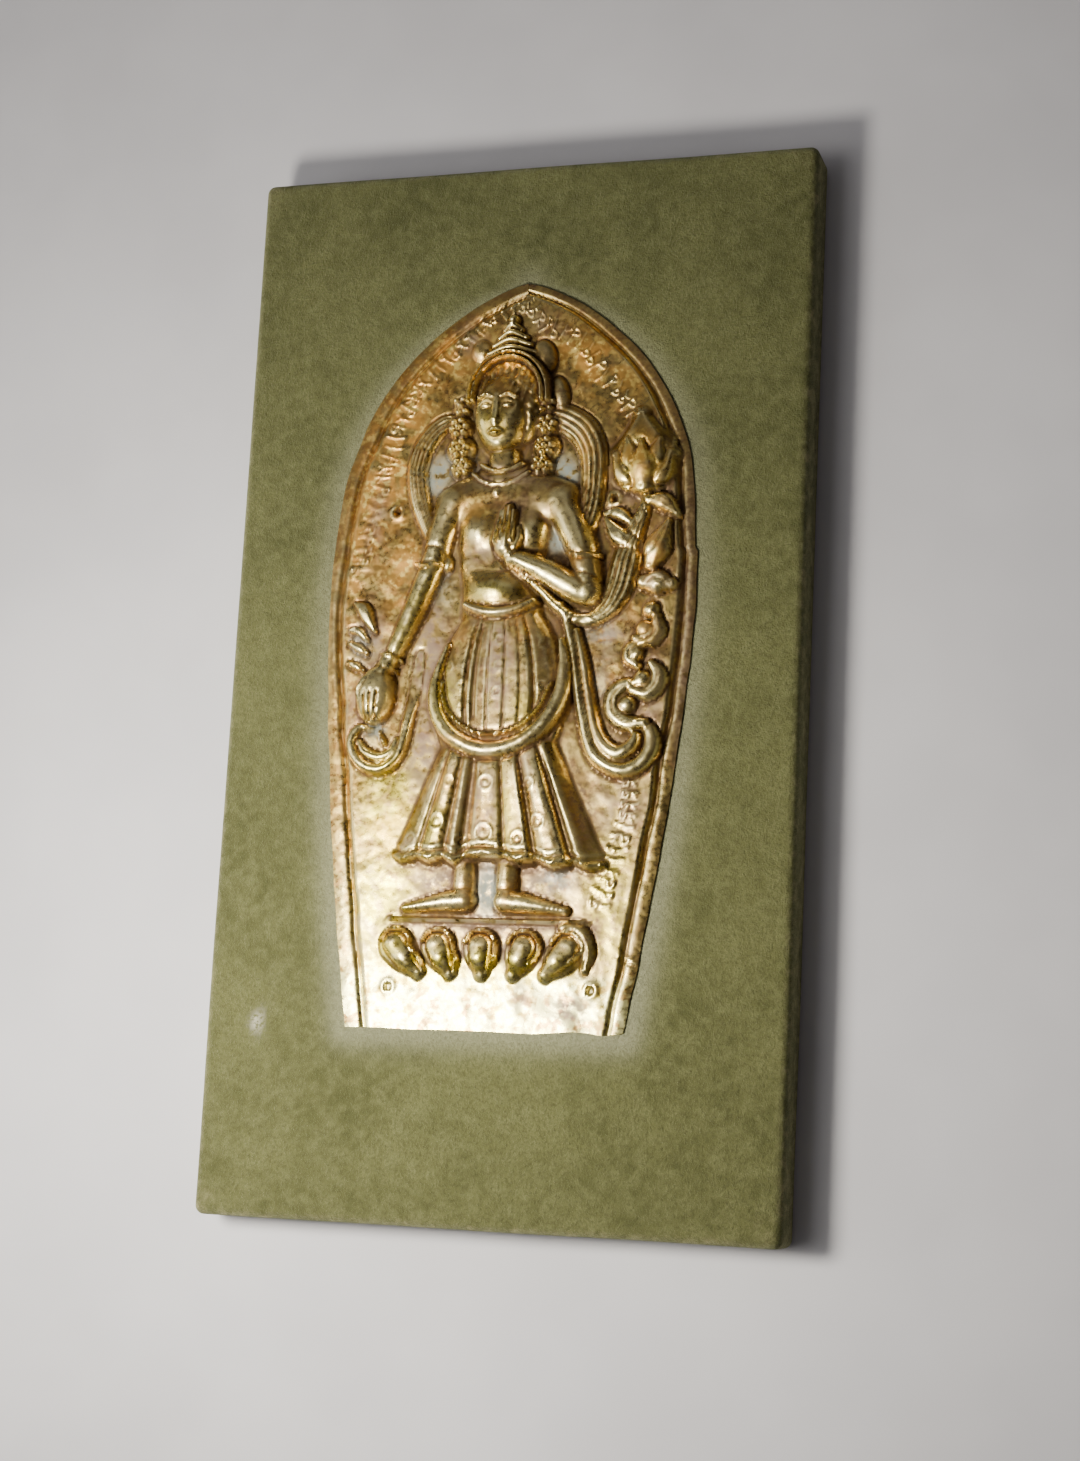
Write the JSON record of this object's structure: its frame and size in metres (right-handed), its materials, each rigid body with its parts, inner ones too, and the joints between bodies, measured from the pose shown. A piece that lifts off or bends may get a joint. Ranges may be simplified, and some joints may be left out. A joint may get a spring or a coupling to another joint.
{
  "type": "copper relief plaque",
  "caption": "Pointed-arch repousse copper plaque of a standing figure on a lotus base, fixed to an upright velvet-covered board.",
  "frame": {"origin": "middle of the board's back", "axes": "+X to the right of the face, +Y towards the figure's head along the board's height, +Z out of the face"},
  "size_m": [0.16, 0.289, 0.0267],
  "materials": {
    "velvet": "short olive-green pile, rubbed paler round the metal",
    "gilt_copper": "beaten, gold-brown and orange patina, bright on rubbed places"
  },
  "bodies": {
    "root": {"fabric_board": "velvet", "relief_plaque": "gilt_copper"}
  },
  "joints": []
}
